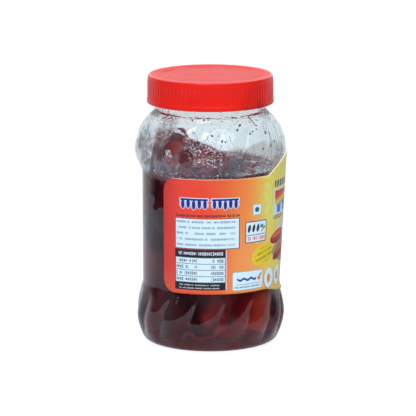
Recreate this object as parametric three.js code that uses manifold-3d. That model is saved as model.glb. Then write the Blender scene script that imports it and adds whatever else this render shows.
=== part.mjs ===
import * as THREE from 'three';
import { mergeVertices } from 'three/addons/utils/BufferGeometryUtils.js';
import Module from 'manifold-3d';

// A shut clear jar of carrot preserve: fluted jar, ribbed red lid, wrapped label and the carrots inside.
// Millimetres, +Z up, the jar stands on z = 0 round the Z axis.
// Angles round the jar start at the front, -Y, and grow towards +X.

// Jar
const standRadiusIn = 36.5;
const standRadiusOut = 40.5;
const footRise = 5.5;
const baseRadius = 50.5;
const baseWidestZ = 19;
const waistRadius = 46.1;
const waistBottomZ = 41;
const waistTopZ = 116;
const shoulderRadius = 51.2;
const shoulderWidestZ = 132.5;
const neckRadius = 36.4;
const neckBottomZ = 160;
const rimZ = 180.2;
const wall = 0.8;
const neckWall = 1.7;

// Twisted flutes: convex lobes with a sharp valley between them
const fluteCount = 15;
const facetsPerFlute = 4;
const fluteStart = 15.1;
const shoulderFluteDepth = 1.4;
const baseFluteDepth = 1.1;
const baseTwistPerMm = 0.42;
const shoulderTwistPerMm = 0.55;

// Lid
const lidBottomZ = 163.4;
const lidTopZ = 182.6;
const lidRadius = 42.6;
const lidWall = 1.5;
const ribCount = 90;
const ribDepth = 0.35;
const discRadius = 36.6;
const discSink = 0.8;

// Label
const labelThickness = 0.4;
const labelGap = 0.35;
const labelStart = -41.8;
const labelSweep = 293;
const labelBottomZ = 40.4;
const labelTopZ = 118.6;
const labelCorner = 6;
const archCentre = 105;
const archHalfWidth = 53;
const archRise = 15.2;
const archDip = 5.5;

// Carrots
const heapRadius = 43.9;
const coreRadius = 29;
const coreBottomZ = 9;
const coreTopZ = 112;
const layerHeights = [30, 66, 98];
const chunksPerLayer = 7;
const chunkLength = 46;
const chunkRadius = 12.5;

const degrees = Math.PI / 180;

const smoothstep = (from, to, value) => {
  const t = Math.min(Math.max((value - from) / (to - from), 0), 1);
  return t * t * (3 - 2 * t);
};

// A steady scatter of values between 0 and 1 from a whole number
const scatter = (index, salt) => {
  const value = Math.sin(index * 12.9898 + salt * 78.233) * 43758.5453;
  return value - Math.floor(value);
};

const material = (color, roughness, extra = {}) =>
  new THREE.MeshStandardMaterial({ color, roughness, metalness: 0, ...extra });

// Turns a profile round Z and gives one closed shape with shared vertices
const turned = (profile, segments, reshape) => {
  const geometry = new THREE.LatheGeometry(profile, segments);
  geometry.rotateX(Math.PI / 2);
  return welded(geometry, reshape);
};

const welded = (geometry, reshape) => {
  if (reshape) {
    const position = geometry.attributes.position;
    const point = new THREE.Vector3();
    for (let i = 0; i < position.count; i += 1) {
      point.fromBufferAttribute(position, i);
      reshape(point);
      position.setXYZ(i, point.x, point.y, point.z);
    }
  }
  geometry.deleteAttribute('normal');
  geometry.deleteAttribute('uv');
  return mergeVertices(geometry, 1e-4);
};

const placeRound = (point, angle, radius, height) => {
  point.set(radius * Math.sin(angle * degrees), -radius * Math.cos(angle * degrees), height);
};

// Flute depth and twist at a height
const fluteDepth = (z) => {
  const base = smoothstep(2, 12, z) * (1 - smoothstep(26, 39, z));
  const shoulder = smoothstep(waistTopZ, 126, z) * (1 - smoothstep(146, 156, z));
  return baseFluteDepth * base + shoulderFluteDepth * shoulder;
};

const fluteTwist = (z) => {
  const below = Math.min(z - waistBottomZ, 0) * baseTwistPerMm;
  const above = Math.min(Math.max(z - waistTopZ, 0), neckBottomZ - waistTopZ) * shoulderTwistPerMm;
  return fluteStart + below + above;
};

const flute = (point) => {
  const radius = Math.hypot(point.x, point.y);
  const turn = Math.atan2(point.x, -point.y);
  const valley = 1 - Math.abs(Math.sin((turn * fluteCount) / 2));
  const depth = fluteDepth(point.z) * smoothstep(standRadiusOut, standRadiusOut + 3, radius);
  placeRound(point, turn / degrees + fluteTwist(point.z), radius - depth * valley, point.z);
};

// The jar's outer outline from the foot's middle up to the bead under the lid
const bodyOutline = (inset, fine) => {
  const path = new THREE.Path();
  path.moveTo(standRadiusOut, inset);
  path.quadraticCurveTo(45.2 - inset, inset, 46.6 - inset, 4);
  path.quadraticCurveTo(baseRadius - 0.4 - inset, 11.5, baseRadius - inset, baseWidestZ);
  path.bezierCurveTo(baseRadius - 0.2 - inset, 26, 48.1 - inset, 33, 47.1 - inset, 37);
  path.quadraticCurveTo(waistRadius + 0.1 - inset, 39.6, waistRadius - inset, waistBottomZ);
  path.lineTo(waistRadius - inset, waistTopZ);
  path.quadraticCurveTo(waistRadius + 0.2 - inset, 118, 47.7 - inset, 120.4);
  path.quadraticCurveTo(51 - inset, 127, shoulderRadius - inset, shoulderWidestZ);
  path.bezierCurveTo(shoulderRadius - inset, 141.5, 46.5 - inset, 150, 42 - inset, 154.2 - inset * 0.7);
  path.lineTo(37.2 - inset, 159.2 - inset);
  const steps = fine ? [3, 3, 3, 2, 1, 2, 2, 4, 1] : [2, 1, 2, 1, 1, 1, 1, 3, 1];
  const points = path.curves.flatMap((curve, i) => curve.getPoints(steps[i]).slice(1));
  return [new THREE.Vector2(standRadiusOut, inset), ...points];
};

const jar = () => {
  const outside = [new THREE.Vector2(0, footRise)];
  outside.push(new THREE.Vector2(standRadiusIn - 9, footRise - 1));
  outside.push(new THREE.Vector2(standRadiusIn, 0));
  outside.push(...bodyOutline(0, true));
  const neck = [
    [neckRadius + 1, neckBottomZ + 0.6],
    [neckRadius, neckBottomZ + 2],
    [neckRadius, neckBottomZ + 9],
    [neckRadius + 2.4, neckBottomZ + 11],
    [neckRadius, neckBottomZ + 13],
    [neckRadius, rimZ - 0.6],
    [neckRadius - 0.6, rimZ],
    [neckRadius - neckWall, rimZ],
    [neckRadius - neckWall, neckBottomZ + 0.4],
  ];
  const inside = bodyOutline(wall, false).reverse();
  inside.push(new THREE.Vector2(standRadiusIn, wall));
  inside.push(new THREE.Vector2(standRadiusIn - 9, footRise - 1 + wall));
  inside.push(new THREE.Vector2(0, footRise + wall));
  const profile = [...outside, ...neck.map(([r, z]) => new THREE.Vector2(r, z)), ...inside];
  return turned(profile, fluteCount * facetsPerFlute, flute);
};

// The cap: raised rim round a sunk disc, smooth band, fine ribs, and a smooth bead at the bottom
const lid = () => {
  const innerRadius = lidRadius - lidWall;
  const profile = [
    [0, lidTopZ - discSink - lidWall],
    [innerRadius - 0.3, lidTopZ - discSink - lidWall],
    [innerRadius, lidBottomZ],
    [lidRadius + 0.3, lidBottomZ],
    [lidRadius + 0.3, lidBottomZ + 2.6],
    [lidRadius, lidBottomZ + 3.4],
    [lidRadius - 0.1, lidTopZ - 5.4],
    [lidRadius - 0.3, lidTopZ - 4.8],
    [lidRadius - 0.9, lidTopZ - 1.4],
    [lidRadius - 2.6, lidTopZ],
    [discRadius + 1.1, lidTopZ],
    [discRadius, lidTopZ - discSink],
    [0, lidTopZ - discSink],
  ].map(([r, z]) => new THREE.Vector2(r, z));
  const ribBottomZ = lidBottomZ + 3;
  const ribTopZ = lidTopZ - 5.1;
  return turned(profile, ribCount * 2, (point) => {
    const radius = Math.hypot(point.x, point.y);
    const onRibs = point.z > ribBottomZ && point.z < ribTopZ && radius > lidRadius - 0.5;
    if (onRibs) {
      const turn = Math.atan2(point.x, -point.y);
      const groove = (1 - Math.cos(turn * ribCount)) / 2;
      placeRound(point, turn / degrees, radius - ribDepth * groove, point.z);
    }
  });
};

// The label's height limits and the radius of its inner face at an angle
const archShare = (angle) => {
  const off = (angle - archCentre) / archHalfWidth;
  return Math.max(1 - off * off, 0);
};

const labelRadius = (angle, z) => {
  const front = smoothstep(0, 85, angle) * (1 - smoothstep(125, 210, angle));
  const climb = (z - waistBottomZ) / (shoulderWidestZ - waistBottomZ);
  const taut = THREE.MathUtils.lerp(waistRadius + 0.5, shoulderRadius, climb);
  const loose = THREE.MathUtils.lerp(waistRadius, taut, front);
  const flare = waistRadius + (shoulderRadius - waistRadius) * smoothstep(waistTopZ - 1, shoulderWidestZ, z);
  const spread = waistRadius + 0.24 * Math.max(waistBottomZ - 1 - z, 0) + 0.5 * smoothstep(4, 0, z - 36);
  return Math.max(loose, flare, spread) + labelGap;
};

const label = () => {
  const columns = 54;
  const rows = 5;
  const squeeze = 0.5;
  const length = labelSweep * degrees * waistRadius;
  const sheet = new THREE.BoxGeometry(1, 1, 1, columns, rows, 1);
  return welded(sheet, (point) => {
    const u = point.x + 0.5;
    const along = u - (squeeze * Math.sin(2 * Math.PI * u)) / (2 * Math.PI);
    const angle = labelStart + labelSweep * along;
    const edge = Math.min(along, 1 - along) * length;
    const cut = Math.max(labelCorner - edge, 0);
    const rounding = labelCorner - Math.sqrt(Math.max(labelCorner ** 2 - cut ** 2, 0));
    const bottom = labelBottomZ - archDip * archShare(angle) + rounding;
    const top = labelTopZ + archRise * archShare(angle) - rounding;
    const z = THREE.MathUtils.lerp(bottom, top, point.y + 0.5);
    const radius = labelRadius(angle, z) + (point.z > 0 ? labelThickness : 0);
    placeRound(point, angle, radius, z);
  });
};

// Carrot chunks: short tapered lengths with rounded ends, leaning this way and that along the wall
const wasm = await Module();
wasm.setup();

const solid = (geometry) => new wasm.Manifold(new wasm.Mesh({
  numProp: 3,
  vertProperties: new Float32Array(geometry.attributes.position.array),
  triVerts: new Uint32Array(geometry.index.array),
}));

const unwrapped = (manifold) => {
  const mesh = manifold.getMesh();
  const geometry = new THREE.BufferGeometry();
  geometry.setAttribute('position', new THREE.BufferAttribute(mesh.vertProperties, 3));
  geometry.setIndex(new THREE.BufferAttribute(mesh.triVerts, 1));
  return geometry;
};

const chunk = (length, radius, taper) => {
  const half = length / 2;
  const profile = [
    [0, -half],
    [radius * 0.82, -half + radius * 0.14],
    [radius, -half * 0.25],
    [radius * (1 - taper) * 0.84, half - radius * 0.12],
    [0, half],
  ].map(([r, z]) => new THREE.Vector2(r, z));
  return turned(profile, 7);
};

// Stands a chunk against the jar's wall at an angle, a height and a sideways lean
const placeChunk = ({ angle, height, lean, tip, length, radius, taper, reach }) => {
  const geometry = chunk(length, radius, taper);
  geometry.rotateY(lean * degrees);
  geometry.rotateX(tip * degrees);
  geometry.translate(0, -reach, height);
  geometry.rotateZ(angle * degrees);
  return geometry;
};

const standingChunks = () => {
  const chunks = [];
  layerHeights.forEach((height, layer) => {
    for (let k = 0; k < chunksPerLayer; k += 1) {
      const index = layer * chunksPerLayer + k;
      const radius = chunkRadius * (0.86 + 0.24 * scatter(index, 1));
      const length = chunkLength * (0.82 + 0.2 * scatter(index, 2));
      const lean = (k % 2 ? 1 : -1) * (8 + 18 * scatter(index, 3));
      const sideways = Math.sin(Math.abs(lean) * degrees) * length * 0.42;
      const reach = Math.sqrt((heapRadius - radius) ** 2 - sideways ** 2);
      const angle = (360 / chunksPerLayer) * (k + 0.5 * layer) + 14 * (scatter(index, 4) - 0.5);
      chunks.push({ angle, height, lean, tip: 0, length, radius, taper: 0.22, reach });
    }
  });
  return chunks;
};

// The pieces that stand out of the syrup on the left, and two low ones on the right
const topChunks = [
  { angle: -45, height: 127, lean: -17, tip: 3, length: 46, radius: 15, taper: 0.4, reach: 28 },
  { angle: -92, height: 122, lean: 8, tip: 0, length: 44, radius: 13, taper: 0.35, reach: 29.5 },
  { angle: -14, height: 129, lean: -60, tip: 10, length: 46, radius: 12.5, taper: 0.3, reach: 28 },
  { angle: -140, height: 116, lean: 50, tip: 0, length: 40, radius: 12, taper: 0.2, reach: 22 },
  { angle: 60, height: 107, lean: 68, tip: 6, length: 42, radius: 11.5, taper: 0.2, reach: 22 },
  { angle: 150, height: 107, lean: -66, tip: 0, length: 42, radius: 11.5, taper: 0.2, reach: 22 },
];

// The heap is one outer shell: a hollow closed in between chunks is filled
const carrots = () => {
  const coreProfile = [
    [0, coreBottomZ],
    [coreRadius - 3, coreBottomZ],
    [coreRadius, coreBottomZ + 4],
    [coreRadius, coreTopZ - 6],
    [coreRadius - 8, coreTopZ],
    [0, coreTopZ],
  ].map(([r, z]) => new THREE.Vector2(r, z));
  let heap = solid(turned(coreProfile, 20));
  [...standingChunks(), ...topChunks].forEach((place) => {
    heap = heap.add(solid(placeChunk(place)));
  });
  const shells = heap.decompose().sort((a, b) => b.volume() - a.volume());
  return unwrapped(shells[0]);
};

const group = new THREE.Group();

const add = (name, geometry, finish) => {
  geometry.computeVertexNormals();
  const mesh = new THREE.Mesh(geometry, finish);
  mesh.name = name;
  group.add(mesh);
};

add('jar', jar(), material(0xdfe9ec, 0.08, { transparent: true, opacity: 0.35 }));
add('lid', lid(), material(0xe0231c, 0.32));
add('label', label(), material(0xf08a3c, 0.3));
add('carrots', carrots(), material(0x7a2a16, 0.4));

export default group;
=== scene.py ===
import math
import random

import bmesh
import bpy
from mathutils import Euler, Matrix, Vector, noise
from mathutils.geometry import interpolate_bezier


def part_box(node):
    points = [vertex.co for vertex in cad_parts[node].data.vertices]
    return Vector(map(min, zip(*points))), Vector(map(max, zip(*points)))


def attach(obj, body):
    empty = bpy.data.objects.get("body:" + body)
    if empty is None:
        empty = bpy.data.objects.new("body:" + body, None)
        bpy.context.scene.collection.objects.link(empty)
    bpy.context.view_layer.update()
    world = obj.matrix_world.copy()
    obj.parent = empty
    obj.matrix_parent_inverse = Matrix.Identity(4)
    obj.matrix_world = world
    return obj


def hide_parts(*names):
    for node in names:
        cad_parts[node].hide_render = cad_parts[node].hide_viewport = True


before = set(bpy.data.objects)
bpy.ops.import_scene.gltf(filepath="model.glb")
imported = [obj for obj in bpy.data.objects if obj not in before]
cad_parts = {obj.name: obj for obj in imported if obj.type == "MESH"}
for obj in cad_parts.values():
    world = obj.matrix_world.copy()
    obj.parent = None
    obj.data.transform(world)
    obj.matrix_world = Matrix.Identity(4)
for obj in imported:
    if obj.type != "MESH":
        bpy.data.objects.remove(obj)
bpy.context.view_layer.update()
scene = bpy.context.scene

# Lengths are in millimetres until a piece is finished, and angles round the jar are in degrees from the
# front, -Y, towards +X.

# Camera
# The photograph is taken from two metres away with a long lens. The camera stands a little above the jar
# and looks down on it, so that the top of the lid shows as a narrow oval.
camera_reach = 2.0
camera_rise = math.radians(11.6)
camera_aim = Vector((-0.0016, 0.0, 0.09))

camera = bpy.data.objects.new("camera", bpy.data.cameras.new("camera"))
camera.data.lens = 254.4
camera.location = camera_aim + camera_reach * Vector((0, -math.cos(camera_rise), math.sin(camera_rise)))
camera.rotation_euler = (math.pi / 2 - camera_rise, 0, 0)
scene.collection.objects.link(camera)
scene.camera = camera


# Studio
# A white table top under a large soft lamp and a small sharper one, in a white room. The room is dark
# round the camera where the plastic mirrors it, and that gives the clear wall its grey edges.
table_front = -0.52
table_back = 0.35
table_half_width = 0.5


class Field:
    """A number or colour in a finish, which takes arithmetic."""

    def __init__(self, recipe, socket):
        self.recipe = recipe
        self.socket = socket

    def math(self, operation, *values):
        return self.recipe.node("Math", {"operation": operation}, dict(enumerate(values)))

    def __add__(self, other):
        return self.math("ADD", self, other)

    def __sub__(self, other):
        return self.math("SUBTRACT", self, other)

    def __rsub__(self, other):
        return self.math("SUBTRACT", other, self)

    def __mul__(self, other):
        return self.math("MULTIPLY", self, other)

    def __truediv__(self, other):
        return self.math("DIVIDE", self, other)

    def __rtruediv__(self, other):
        return self.math("DIVIDE", other, self)

    def __abs__(self):
        return self.math("ABSOLUTE", self)

    def __pow__(self, other):
        return self.math("POWER", self, other)

    def lower_of(self, other):
        return self.math("MINIMUM", self, other)

    def higher_of(self, other):
        return self.math("MAXIMUM", self, other)

    def floor(self):
        return self.math("FLOOR", self)

    def fract(self):
        return self.math("FRACT", self)

    def sine(self):
        return self.math("SINE", self)

    def rise(self, start, end):
        """0 before start and 1 after end, with a soft step between them."""
        settings = {"interpolation_type": "SMOOTHSTEP"}
        return self.recipe.node("MapRange", settings, {0: self, 1: start, 2: end})

    __radd__ = __add__
    __rmul__ = __mul__


class Recipe:
    """The nodes of one finish."""

    def __init__(self, tree):
        self.tree = tree
        tree.nodes.clear()

    def node(self, kind, settings, sockets, out=0):
        """Adds a shader node; its sockets take values or Fields."""
        made = self.tree.nodes.new("ShaderNode" + kind)
        for name, value in settings.items():
            if name == "stops":
                self.set_stops(made.color_ramp.elements, value)
            else:
                setattr(made, name, value)
        for name, value in sockets.items():
            if isinstance(value, Field):
                self.tree.links.new(value.socket, made.inputs[name])
            else:
                made.inputs[name].default_value = value
        return Field(self, made.outputs[out])

    @staticmethod
    def set_stops(elements, stops):
        while len(elements) < len(stops):
            elements.new(1)
        for element, (place, colour) in zip(elements, stops):
            element.position = place
            element.color = colour

    def blend(self, share, below, above):
        settings = {"data_type": "RGBA", "clamp_factor": True}
        return self.node("Mix", settings, {0: share, 6: below, 7: above}, out=2)

    def ramp(self, stops, place):
        return self.node("ValToRGB", {"stops": stops}, {0: place})

    def axes(self, vector):
        return [self.node("SeparateXYZ", {}, {0: vector}, out=i) for i in range(3)]

    def place(self):
        return self.node("TexCoord", {}, {}, out="Object")

    def speckle(self, scale, detail=2.0):
        """Soft noise with grains of about one over scale, in metres."""
        sockets = {"Vector": self.place(), "Scale": scale, "Detail": detail}
        return self.node("TexNoise", {}, sockets)

    def near(self, place, spot, inner, outer):
        """1 within inner of a spot, in millimetres, and 0 beyond outer."""
        sockets = {0: place, 1: Vector(spot) * 0.001}
        reach = self.node("VectorMath", {"operation": "DISTANCE"}, sockets, out="Value")
        return 1 - reach.rise(inner * 0.001, outer * 0.001)

    def depth(self, colour, density):
        """What light loses on its way through."""
        sockets = {"Color": colour, "Density": density}
        return self.node("VolumeAbsorption", {}, sockets, out="Volume")

    def bump(self, height, reach, strength=1.0):
        sockets = {"Height": height, "Distance": reach, "Strength": strength}
        return self.node("Bump", {}, sockets)

    def principled(self, sockets):
        return self.node("BsdfPrincipled", {}, sockets)

    def surface(self, sockets, volume=None):
        self.output("Material", self.principled(sockets), volume)

    def output(self, kind, surface, volume=None):
        made = self.tree.nodes.new("ShaderNodeOutput" + kind)
        self.tree.links.new(surface.socket, made.inputs["Surface"])
        if volume:
            self.tree.links.new(volume.socket, made.inputs["Volume"])


def ink(red, green, blue):
    """A colour as it is seen on a screen, 0 to 255, as light."""
    def light(value):
        value /= 255
        return value / 12.92 if value < 0.04045 else ((value + 0.055) / 1.055) ** 2.4
    return (light(red), light(green), light(blue), 1)


def new_finish(name):
    finish = bpy.data.materials.new(name)
    finish.use_nodes = True
    return finish, Recipe(finish.node_tree)


def table_finish():
    """White to look at; in reflections its back right is in shade."""
    finish, recipe = new_finish("white table")
    grain = recipe.speckle(40)
    x, y, _ = recipe.axes(recipe.place())
    shade = x.rise(0.02, 0.1) * y.rise(-0.06, 0.02)
    ahead = ((x ** 2 + y ** 2) ** 0.5).rise(0.18, 0.4) * (1 - y.rise(-0.16, 0)) * (1 - x.rise(0, 0.12))
    near = recipe.blend(ahead, (0.71, 0.74, 0.85, 1), (1.15, 1.15, 1.45, 1))
    straight = recipe.node("LightPath", {}, {}, out="Is Camera Ray")
    recipe.surface({
        "Base Color": recipe.blend(grain, (0.18, 0.18, 0.18, 1), (0.22, 0.22, 0.22, 1)),
        "Roughness": 0.8,
        "Emission Color": recipe.blend(straight, recipe.blend(shade, near, (0.19, 0.18, 0.19, 1)),
                                       (0.95, 0.98, 1.04, 1)),
        "Emission Strength": 0.88,
    })
    return finish


def studio_walls():
    """White to look at and through the jar; in reflections dark behind the camera and bright above it."""
    world = bpy.data.worlds.new("studio")
    scene.world = world
    world.use_nodes = True
    recipe = Recipe(world.node_tree)
    toward = recipe.node("TexCoord", {}, {}, out="Generated")
    _, back, up = recipe.axes(toward)
    behind = back.rise(0.25, 0.65)
    low = 0.09 + 0.77 * behind
    glow = low + (1.2 - low) * up.rise(0.5, 0.68)
    backdrop = (0.42 + 0.5 * abs(back).rise(0.7, 0.98)).higher_of(0.85 * up.rise(0.1, 0.5))
    straight = recipe.node("LightPath", {}, {}, out="Is Camera Ray")
    through = recipe.node("LightPath", {}, {}, out="Is Transmission Ray")
    dimmed = glow + (backdrop - glow) * through
    strength = dimmed + (1.03 - dimmed) * straight
    tint = recipe.blend(behind.higher_of(straight), (0.72, 0.92, 1.25, 1), (0.97, 0.99, 1.0, 1))
    light = recipe.node("Background", {}, {"Color": tint, "Strength": strength})
    recipe.output("World", light)


def table():
    top = bmesh.new()
    bmesh.ops.create_grid(top, x_segments=1, y_segments=1, size=1)
    bmesh.ops.scale(top, vec=(table_half_width, (table_back - table_front) / 2, 1), verts=top.verts)
    bmesh.ops.translate(top, vec=(0, (table_front + table_back) / 2, 0), verts=top.verts)
    mesh = bpy.data.meshes.new("table")
    top.to_mesh(mesh)
    top.free()
    mesh.materials.append(table_finish())
    made = bpy.data.objects.new("table", mesh)
    scene.collection.objects.link(made)


def lamp(name, place, size, power, shines):
    """A lamp that is turned to the jar; only one that shines shows in reflections."""
    light = bpy.data.lights.new(name, "AREA")
    light.shape = "RECTANGLE"
    light.size, light.size_y = size
    light.energy = power
    made = bpy.data.objects.new(name, light)
    made.location = place
    made.rotation_euler = (camera_aim - Vector(place)).to_track_quat("-Z", "Y").to_euler()
    made.visible_glossy = shines
    scene.collection.objects.link(made)


scene.view_settings.view_transform = "Standard"
# Light passes many walls of the jar before it comes back
scene.cycles.max_bounces = 20
scene.cycles.transmission_bounces = 20
scene.cycles.transparent_max_bounces = 16
studio_walls()
table()
lamp("soft lamp", (0.2, -1.7, 1.65), (2.4, 1.7), 36.5, False)
lamp("small lamp", (-0.35, -1.25, 1.75), (0.7, 0.7), 6, True)


# Jar
# Blown from clear plastic: a flat foot, a base and a shoulder with fifteen twisted flutes, a plain waist
# between them for the label, and a thick screw neck. The wall under the syrup's level is wet inside.
foot_radius = 40.5
foot_inner_radius = 36.5
dome_rise = 5.5
dome_edge = 9.0
waist_radius = 46.1
waist_bottom = 41.0
waist_top = 116.0
shoulder_radius = 51.2
shoulder_widest = 132.5
neck_radius = 36.4
neck_bottom = 160.0
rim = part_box("jar")[1].z * 1000
wall = 0.8
neck_wall = 1.7
steps_per_flute = 20

flutes = 15
flute_start = 15.1
base_flute_depth = 1.7
shoulder_flute_depth = 1.8
base_twist = 0.42
shoulder_twist = 0.55

syrup_level = 119.5


def step(start, end, value):
    share = min(max((value - start) / (end - start), 0), 1)
    return share * share * (3 - 2 * share)


def round_jar(angle, radius, height):
    turn = math.radians(angle)
    return Vector((radius * math.sin(turn), -radius * math.cos(turn), height))


def turn_of(point):
    """How far round the jar a point lies, in radians."""
    return math.atan2(point.x, -point.y)


def flute_depth(height):
    base = step(2, 12, height) * (1 - step(26, 39, height))
    shoulder = step(waist_top, 126, height) * (1 - step(146, 156, height))
    return base_flute_depth * base + shoulder_flute_depth * shoulder


def flute_turn(height):
    below = min(height - waist_bottom, 0) * base_twist
    above = min(max(height - waist_top, 0), neck_bottom - waist_top) * shoulder_twist
    return flute_start + below + above


def fluted(point):
    """Where a point of the plain round wall lies once the flutes are pressed in."""
    radius = math.hypot(point.x, point.y)
    turn = turn_of(point)
    valley = 1 - abs(math.sin(turn * flutes / 2))
    depth = flute_depth(point.z) * step(foot_radius, foot_radius + 3, radius)
    return round_jar(math.degrees(turn) + flute_turn(point.z), radius - depth * valley, point.z)


def outline(*places):
    """Points of an outline, each given by its radius and its height."""
    return [Vector((radius, 0, height)) for radius, height in places]


def curve(line, first, second, end, steps):
    """Takes a line on from its last point to end, on a curve that leans towards first and then second."""
    line.extend(interpolate_bezier(line[-1], *outline(first, second, end), steps + 1)[1:])


def arc(line, pull, end, steps):
    """Takes a line on from its last point to end, on an arc that leans towards pull."""
    start, (pull, end) = line[-1], outline(pull, end)
    line.extend(interpolate_bezier(start, start.lerp(pull, 2 / 3), end.lerp(pull, 2 / 3), end, steps + 1)[1:])


def wall_outline(inset):
    """The wall from the foot's edge up to the neck, inset from the jar's outside."""
    def at(radius, height):
        return radius - inset, height

    line = outline((foot_radius, inset))
    arc(line, at(45.2, inset), at(46.6, 4), 5)
    arc(line, at(50.1, 11.5), at(50.5, 19), 8)
    curve(line, at(50.3, 26), at(48.1, 33), at(47.1, 37), 11)
    arc(line, at(46.2, 39.6), at(waist_radius, waist_bottom), 4)
    line += outline(*(at(waist_radius, height) for height in (41.7, 60, 80, 100, 115.2, waist_top)))
    arc(line, at(46.3, 118), at(47.7, 120.4), 5)
    arc(line, at(51, 127), at(shoulder_radius, shoulder_widest), 8)
    curve(line, at(shoulder_radius, 141.5), at(46.5, 150), at(42, 154.2 - inset * 0.7), 13)
    line += outline(at(37.2, 159.2 - inset))
    return line


def radius_at(line, height):
    """The radius of an outline at a height on its way up."""
    for low, high in zip(line, line[1:]):
        if low.z <= height <= high.z and high.z > low.z:
            return low.lerp(high, (height - low.z) / (high.z - low.z)).x
    return line[-1].x


def turned(line, sectors, steps, wet=()):
    """Spins an outline round the axis into one closed skin: one sector of it, and then that sector's copies.
    The outline's points that are listed in wet are marked."""
    skin = bmesh.new()
    mark = skin.verts.layers.int.new("wet")
    corners = [skin.verts.new(point) for point in line]
    for place in wet:
        corners[place][mark] = 1
    edges = [skin.edges.new(pair) for pair in zip(corners, corners[1:])]
    sweep = 2 * math.pi / sectors
    bmesh.ops.spin(skin, geom=corners + edges, cent=(0, 0, 0), axis=(0, 0, 1), angle=sweep, steps=steps)
    first = skin.verts[:] + skin.edges[:] + skin.faces[:]
    for sector in range(1, sectors):
        copy = bmesh.ops.duplicate(skin, geom=first)["geom"]
        corners = [part for part in copy if isinstance(part, bmesh.types.BMVert)]
        turn = Euler((0, 0, sweep * sector)).to_matrix()
        bmesh.ops.rotate(skin, cent=(0, 0, 0), matrix=turn, verts=corners)
    bmesh.ops.remove_doubles(skin, verts=skin.verts, dist=1e-3)
    bmesh.ops.recalc_face_normals(skin, faces=skin.faces)
    return skin


def finished(name, skin, finishes, stands_for=None):
    """Makes a skin in millimetres a piece in metres, which rides with the jar."""
    bmesh.ops.scale(skin, vec=(0.001, 0.001, 0.001), verts=skin.verts)
    mesh = bpy.data.meshes.new(name)
    skin.to_mesh(mesh)
    skin.free()
    mesh.shade_smooth()
    for finish in finishes:
        mesh.materials.append(finish)
    made = bpy.data.objects.new(name, mesh)
    scene.collection.objects.link(made)
    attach(made, "root")
    if stands_for:
        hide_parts(stands_for)
    return made


# Where a film of dried syrup and froth clings to the shoulder, and where pale and grey patches in it paint
# light and reflection:
# its middle, how far it is thick and how far it reaches, how thick it is, and its colour
film_and_light_spots = [
    ((-45, -24, 136), 8, 15, 0.60, (0.33, 0.26, 0.25, 1)),
    ((-48, 8, 130), 8, 20, 0.30, (0.40, 0.36, 0.36, 1)),
    ((-33, -33, 146), 4, 10, 0.56, (0.50, 0.32, 0.28, 1)),
    ((-29, -32, 154), 3, 12, 0.55, (0.36, 0.28, 0.27, 1)),
    ((18, -47, 131), 4, 10, 0.08, (0.73, 0.75, 0.76, 1)),
    ((47, -18, 126), 8, 15, 0.42, (0.34, 0.28, 0.27, 1)),
    ((19, -46, 131), 5, 12, 0.52, (0.20, 0.175, 0.18, 1)),
    ((15, -47, 124), 4, 11, 0.45, (0.13, 0.11, 0.13, 1)),
    ((-16, -47, 133), 3, 9, 0.45, (0.11, 0.02, 0.024, 1)),
    # The next two, grey-purple low on the shoulder, are film and a painted reflection of the white table
    ((-30, -39, 122), 5, 12, 0.42, (0.32, 0.29, 0.32, 1)),
    ((-7, -49, 121), 4, 11, 0.28, (0.26, 0.24, 0.27, 1)),
    # The next two, pale at the foot of the neck, are painted light over the dark that shows through the
    # plastic there
    ((-38, -15, 157), 2, 7, 0.90, (0.66, 0.68, 0.70, 1)),
    ((37, -15, 157), 3, 8, 0.90, (0.66, 0.69, 0.71, 1)),
]


def jar_finish():
    """Clear, with pale valleys between the flutes, partly scuffs and partly painted highlights, and a bubbly
    film of dried syrup on the shoulder that holds some painted light.
    """
    finish, recipe = new_finish("clear jar plastic")
    place = recipe.place()
    _, _, up = recipe.axes(place)
    under_neck = up.rise(0.149, 0.154)
    clear = recipe.principled({
        "Base Color": recipe.blend(under_neck, (0.88, 0.955, 0.972, 1), (0.94, 0.975, 0.985, 1)),
        "Roughness": recipe.speckle(25) * 0.03 + 0.01,
        "IOR": 1.43,
        "Transmission Weight": 1.0,
        "Normal": recipe.bump(recipe.speckle(60, 1), 0.0012, 0.25),
    })
    coat, hue = 0, (0.85, 0.9, 0.92, 1)
    for spot, inner, outer, thick, spot_hue in film_and_light_spots:
        near = recipe.near(place, spot, inner, outer)
        coat = coat + near * thick
        hue = recipe.blend(near * 2, hue, spot_hue)
    bubbly = recipe.speckle(380, 3).rise(0.42, 0.6) * up.rise(0.1175, 0.1195)
    coat = coat * (0.3 + 0.7 * bubbly)
    clouded = recipe.principled({"Base Color": hue, "Roughness": 0.35})
    valley = recipe.node("Attribute", {"attribute_name": "valley"}, {}, out="Fac")
    # Pale in the valleys: scuffs, and painted highlights along the flutes
    scuffs_and_highlights = valley * recipe.speckle(110, 2).rise(0.35, 0.7) * 0.25
    bloom = recipe.speckle(45, 2).rise(0.4, 0.75) * 0.02
    mixed = recipe.node("MixShader", {}, {0: scuffs_and_highlights + bloom + coat, 1: clear, 2: clouded})
    recipe.output("Material", mixed, recipe.depth((0.45, 0.45, 0.45, 1), 22.0))
    return finish


def wet_wall_finish():
    """The inside of the wall under the syrup, where plastic and syrup meet and nothing shines."""
    finish, recipe = new_finish("wet jar wall")
    recipe.surface({
        "Base Color": (0.9, 0.95, 0.96, 1),
        "Roughness": 0.1,
        "IOR": 1.0,
        "Transmission Weight": 1.0,
        "Alpha": 0.0,
    })
    return finish


def foot_outline(inset, pull):
    """The dome under the jar, from the axis out to the ring that the jar stands on."""
    line = outline((0, dome_rise + inset), (foot_inner_radius - dome_edge, dome_rise - 1 + inset))
    arc(line, (33, pull), (foot_inner_radius, inset), 5)
    return line


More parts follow.
